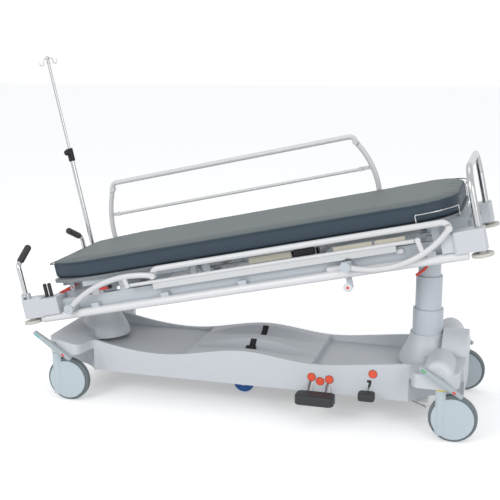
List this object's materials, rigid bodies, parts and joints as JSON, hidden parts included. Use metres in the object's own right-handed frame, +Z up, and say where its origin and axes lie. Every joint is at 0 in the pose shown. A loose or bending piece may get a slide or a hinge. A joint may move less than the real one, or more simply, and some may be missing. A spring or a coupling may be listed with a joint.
{
  "type": "patient transport stretcher",
  "caption": "Wheeled patient stretcher: two lift columns carry a tilting deck with lifting backrest, folding side rails, push handles, foot hoop and drip pole.",
  "frame": {"origin": "on the floor, at the centre of the outline", "axes": "+X from the head end to the foot end, +Y across to the far side, +Z up"},
  "size_m": [2.2561, 0.742, 1.5402],
  "materials": {
    "beam_paint": "satin",
    "block_plastic": "smooth",
    "board": "smooth",
    "brake_paint": "smooth",
    "bumper": "matte",
    "caster_plastic": "smooth",
    "column_paint": "satin",
    "cover_shell": "smooth",
    "frame_paint": "satin",
    "knob_black": "smooth",
    "knob_grey": "smooth",
    "mattress": "coated",
    "pedal_rubber": "matte",
    "pin_steel": "plain",
    "rail_paint": "satin",
    "release_red": "gloss",
    "spring_black": "satin",
    "steel_bright": "polished",
    "steer_blue": "matte",
    "strap_black": "woven",
    "tyre_grey": "matte",
    "unit_metal": "plain",
    "wire_bright": "polished",
    "zinc": "plain"
  },
  "bodies": {
    "base": {"base_frame": "unit_metal", "base_cover": "cover_shell", "foot_end_hood": "cover_shell", "column_sleeves": "column_paint", "hydraulic_unit": "spring_black", "tray_straps": "strap_black"},
    "head_lift_middle": {"head_column_mid": "column_paint"},
    "head_lift_top": {"head_column_top": "column_paint"},
    "foot_lift_middle": {"foot_column_mid": "column_paint"},
    "foot_lift_top": {"foot_column_top": "column_paint"},
    "deck_pin": {"head_pivot_pin": "pin_steel"},
    "deck": {"deck_frame": "beam_paint", "side_tubes": "frame_paint", "corner_blocks": "block_plastic", "bumper_discs": "bumper", "seat_platform": "board", "foot_hoop": "steel_bright", "accessory_rails": "steel_bright", "mattress_retainers": "wire_bright", "mattress_seat": "mattress", "mattress_fold": "mattress", "gas_spring_cylinder": "spring_black", "iv_pole_lower": "steel_bright", "iv_pole_clamp": "knob_black"},
    "backrest": {"back_platform": "board", "backrest_frame": "beam_paint", "mattress_back": "mattress"},
    "gas_spring_piston": {"gas_spring_rod": "pin_steel"},
    "backrest_handle": {"backrest_release": "release_red"},
    "pole_rod": {"iv_pole_upper": "steel_bright"},
    "pole_knob": {"iv_pole_knob": "knob_black"},
    "tilt_lever": {"tilt_release_lever": "release_red"},
    "head_brake": {"head_brake_bar": "brake_paint"},
    "foot_brake": {"foot_brake_bar": "brake_paint"},
    "steer_arm": {"fifth_wheel_arm": "zinc"},
    "steer_wheel": {"fifth_wheel": "steer_blue"},
    "caster_head_near": {"caster_fork_head_near": "caster_plastic"},
    "wheel_head_near": {"caster_wheel_head_near": "tyre_grey"},
    "caster_head_far": {"caster_fork_head_far": "caster_plastic"},
    "wheel_head_far": {"caster_wheel_head_far": "tyre_grey"},
    "caster_foot_near": {"caster_fork_foot_near": "caster_plastic"},
    "wheel_foot_near": {"caster_wheel_foot_near": "tyre_grey"},
    "caster_foot_far": {"caster_fork_foot_far": "caster_plastic"},
    "wheel_foot_far": {"caster_wheel_foot_far": "tyre_grey"},
    "near_handle": {"near_push_handle": "steel_bright"},
    "near_pump": {"near_pump_pedal": "pedal_rubber"},
    "near_release": {"near_release_pedal": "pedal_rubber"},
    "near_head_post": {"near_rail_head_post": "rail_paint"},
    "near_foot_post": {"near_rail_foot_post": "rail_paint"},
    "near_top_bar": {"near_rail_top_bar": "rail_paint"},
    "near_mid_bar": {"near_rail_mid_bar": "rail_paint"},
    "near_rail_button": {"near_rail_release": "knob_grey"},
    "far_handle": {"far_push_handle": "steel_bright"},
    "far_pump": {"far_pump_pedal": "pedal_rubber"},
    "far_release": {"far_release_pedal": "pedal_rubber"},
    "far_head_post": {"far_rail_head_post": "rail_paint"},
    "far_foot_post": {"far_rail_foot_post": "rail_paint"},
    "far_top_bar": {"far_rail_top_bar": "rail_paint"},
    "far_mid_bar": {"far_rail_mid_bar": "rail_paint"},
    "far_rail_button": {"far_rail_release": "knob_grey"}
  },
  "joints": [
    {"name": "head_lift", "type": "slide", "parent": "base", "child": "head_lift_top", "axis": [0, 0, 1], "range_m": [0, 0.337]},
    {"name": "head_lift_stage", "type": "slide", "parent": "base", "child": "head_lift_middle", "axis": [0, 0, 1], "range_m": [0, 0.1459]},
    {"name": "foot_lift", "type": "slide", "parent": "base", "child": "foot_lift_top", "axis": [0, 0, 1], "range_m": [-0.337, 0]},
    {"name": "foot_lift_stage", "type": "slide", "parent": "base", "child": "foot_lift_middle", "axis": [0, 0, 1], "range_m": [-0.1459, 0]},
    {"name": "deck_pin_turn", "type": "hinge", "parent": "head_lift_top", "child": "deck_pin", "pos_m": [-0.68917, 0, 0.501], "axis": [0, -1, 0], "range_deg": [-12.5, 0.1]},
    {"name": "deck_tilt", "type": "hinge", "parent": "deck_pin", "child": "deck", "pos_m": [-0.68917, 0, 0.501], "axis": [0, -1, 0], "range_deg": [-12.5, 0.1]},
    {"name": "backrest_hinge", "type": "hinge", "parent": "deck", "child": "backrest", "pos_m": [-0.1324, 0, 0.68402], "axis": [0, 1, 0], "range_deg": [0, 70], "deforming": ["mattress_fold"]},
    {"name": "gas_spring_slide", "type": "slide", "parent": "deck", "child": "gas_spring_piston", "axis": [-0.977, 0, -0.2134], "range_m": [-0.001, 0.0655]},
    {"name": "backrest_handle_hinge", "type": "hinge", "parent": "backrest", "child": "backrest_handle", "pos_m": [-0.72958, 0, 0.51264], "axis": [0, 1, 0], "range_deg": [0, 15], "stiffness_Nm_per_rad": 2, "springref_deg": -20.05},
    {"name": "pole_slide", "type": "slide", "parent": "deck", "child": "pole_rod", "axis": [-0.2134, 0, 0.977], "range_m": [-0.33, 0]},
    {"name": "pole_knob_turn", "type": "hinge", "parent": "deck", "child": "pole_knob", "pos_m": [-0.98843, 0.3, 1.06514], "axis": [0, 1, 0], "range_deg": [0, 720]},
    {"name": "tilt_lever_hinge", "type": "hinge", "parent": "deck", "child": "tilt_lever", "pos_m": [0.8715, -0.09, 0.72722], "axis": [0, 1, 0], "range_deg": [0, 20], "stiffness_Nm_per_rad": 1, "springref_deg": -17.19},
    {"name": "head_brake_turn", "type": "hinge", "parent": "base", "child": "head_brake", "pos_m": [-0.78217, 0, 0.268], "axis": [0, -1, 0], "range_deg": [0, 66]},
    {"name": "foot_brake_turn", "type": "hinge", "parent": "base", "child": "foot_brake", "pos_m": [0.94683, 0, 0.268], "axis": [0, -1, 0], "range_deg": [0, 66.5]},
    {"name": "steer_arm_hinge", "type": "hinge", "parent": "base", "child": "steer_arm", "pos_m": [0.15233, 0, 0.105], "axis": [0, 1, 0], "range_deg": [0, 20]},
    {"name": "steer_wheel_spin", "type": "hinge", "parent": "steer_arm", "child": "steer_wheel", "pos_m": [0.01433, 0, 0.05], "axis": [0, 1, 0], "continuous": true},
    {"name": "caster_head_near_swivel", "type": "hinge", "parent": "base", "child": "caster_head_near", "pos_m": [-0.78217, -0.305, 0.223], "axis": [0, 0, 1], "continuous": true},
    {"name": "wheel_head_near_spin", "type": "hinge", "parent": "caster_head_near", "child": "wheel_head_near", "pos_m": [-0.73217, -0.305, 0.1], "axis": [0, 1, 0], "continuous": true},
    {"name": "caster_head_far_swivel", "type": "hinge", "parent": "base", "child": "caster_head_far", "pos_m": [-0.78217, 0.305, 0.223], "axis": [0, 0, 1], "continuous": true},
    {"name": "wheel_head_far_spin", "type": "hinge", "parent": "caster_head_far", "child": "wheel_head_far", "pos_m": [-0.73217, 0.305, 0.1], "axis": [0, 1, 0], "continuous": true},
    {"name": "caster_foot_near_swivel", "type": "hinge", "parent": "base", "child": "caster_foot_near", "pos_m": [0.94683, -0.305, 0.223], "axis": [0, 0, 1], "continuous": true},
    {"name": "wheel_foot_near_spin", "type": "hinge", "parent": "caster_foot_near", "child": "wheel_foot_near", "pos_m": [0.99683, -0.305, 0.1], "axis": [0, 1, 0], "continuous": true},
    {"name": "caster_foot_far_swivel", "type": "hinge", "parent": "base", "child": "caster_foot_far", "pos_m": [0.94683, 0.305, 0.223], "axis": [0, 0, 1], "continuous": true},
    {"name": "wheel_foot_far_spin", "type": "hinge", "parent": "caster_foot_far", "child": "wheel_foot_far", "pos_m": [0.99683, 0.305, 0.1], "axis": [0, 1, 0], "continuous": true},
    {"name": "near_handle_fold", "type": "hinge", "parent": "deck", "child": "near_handle", "pos_m": [-0.92418, -0.32, 0.48038], "axis": [-0.977, 0, -0.2134], "range_deg": [0, 90]},
    {"name": "near_pump_hinge", "type": "hinge", "parent": "base", "child": "near_pump", "pos_m": [0.41933, -0.15, 0.19], "axis": [1, 0, 0], "range_deg": [0, 18], "stiffness_Nm_per_rad": 30, "springref_deg": -11.46},
    {"name": "near_release_hinge", "type": "hinge", "parent": "base", "child": "near_release", "pos_m": [0.63733, -0.15, 0.19], "axis": [1, 0, 0], "range_deg": [0, 18], "stiffness_Nm_per_rad": 12, "springref_deg": -11.46},
    {"name": "near_rail_swing", "type": "hinge", "parent": "deck", "child": "near_head_post", "pos_m": [-0.68958, -0.35, 0.44666], "axis": [0, -1, 0], "range_deg": [0, 78.5]},
    {"name": "near_rail_foot_swing", "type": "hinge", "parent": "deck", "child": "near_foot_post", "pos_m": [0.55117, -0.35, 0.71765], "axis": [0, -1, 0], "range_deg": [0, 78.6]},
    {"name": "near_rail_top_level", "type": "hinge", "parent": "near_head_post", "child": "near_top_bar", "pos_m": [-0.28706, -0.35, 0.62436], "axis": [0, -1, 0], "range_deg": [-78.6, 0]},
    {"name": "near_rail_mid_level", "type": "hinge", "parent": "near_head_post", "child": "near_mid_bar", "pos_m": [-0.40599, -0.35, 0.57186], "axis": [0, -1, 0], "range_deg": [-78.6, 0]},
    {"name": "near_rail_button_press", "type": "slide", "parent": "deck", "child": "near_rail_button", "axis": [0, 1, 0], "range_m": [0, 0.008], "stiffness_N_per_m": 400, "springref_m": -0.005},
    {"name": "far_handle_fold", "type": "hinge", "parent": "deck", "child": "far_handle", "pos_m": [-0.92418, 0.32, 0.48038], "axis": [0.977, 0, 0.2134], "range_deg": [0, 90]},
    {"name": "far_pump_hinge", "type": "hinge", "parent": "base", "child": "far_pump", "pos_m": [0.41933, 0.15, 0.19], "axis": [-1, 0, 0], "range_deg": [0, 18], "stiffness_Nm_per_rad": 30, "springref_deg": -11.46},
    {"name": "far_release_hinge", "type": "hinge", "parent": "base", "child": "far_release", "pos_m": [0.63733, 0.15, 0.19], "axis": [-1, 0, 0], "range_deg": [0, 18], "stiffness_Nm_per_rad": 12, "springref_deg": -11.46},
    {"name": "far_rail_swing", "type": "hinge", "parent": "deck", "child": "far_head_post", "pos_m": [-0.68958, 0.35, 0.44666], "axis": [0, 1, 0], "range_deg": [0, 78.5]},
    {"name": "far_rail_foot_swing", "type": "hinge", "parent": "deck", "child": "far_foot_post", "pos_m": [0.55117, 0.35, 0.71765], "axis": [0, 1, 0], "range_deg": [0, 78.6]},
    {"name": "far_rail_top_level", "type": "hinge", "parent": "far_head_post", "child": "far_top_bar", "pos_m": [-0.78347, 0.35, 0.87653], "axis": [0, 1, 0], "range_deg": [-78.6, 0]},
    {"name": "far_rail_mid_level", "type": "hinge", "parent": "far_head_post", "child": "far_mid_bar", "pos_m": [-0.75573, 0.35, 0.74952], "axis": [0, 1, 0], "range_deg": [-78.6, 0]},
    {"name": "far_rail_button_press", "type": "slide", "parent": "deck", "child": "far_rail_button", "axis": [0, -1, 0], "range_m": [0, 0.008], "stiffness_N_per_m": 400, "springref_m": -0.005}
  ],
  "couplings": [
    {"joint": "head_lift_stage", "follows": "head_lift", "ratio": 0.43},
    {"joint": "foot_lift_stage", "follows": "foot_lift", "ratio": 0.43},
    {"joint": "deck_pin_turn", "follows": "head_lift", "rad_per_m": -0.6381},
    {"joint": "deck_tilt", "follows": "foot_lift", "rad_per_m": 0.6381},
    {"joint": "gas_spring_slide", "follows": "backrest_hinge", "m_per_rad": 0.05272},
    {"joint": "foot_brake_turn", "follows": "head_brake_turn", "ratio": 1},
    {"joint": "near_rail_foot_swing", "follows": "near_rail_swing", "ratio": 1},
    {"joint": "near_rail_top_level", "follows": "near_rail_swing", "ratio": -1},
    {"joint": "near_rail_mid_level", "follows": "near_rail_swing", "ratio": -1},
    {"joint": "far_rail_foot_swing", "follows": "far_rail_swing", "ratio": 1},
    {"joint": "far_rail_top_level", "follows": "far_rail_swing", "ratio": -1},
    {"joint": "far_rail_mid_level", "follows": "far_rail_swing", "ratio": -1}
  ]
}
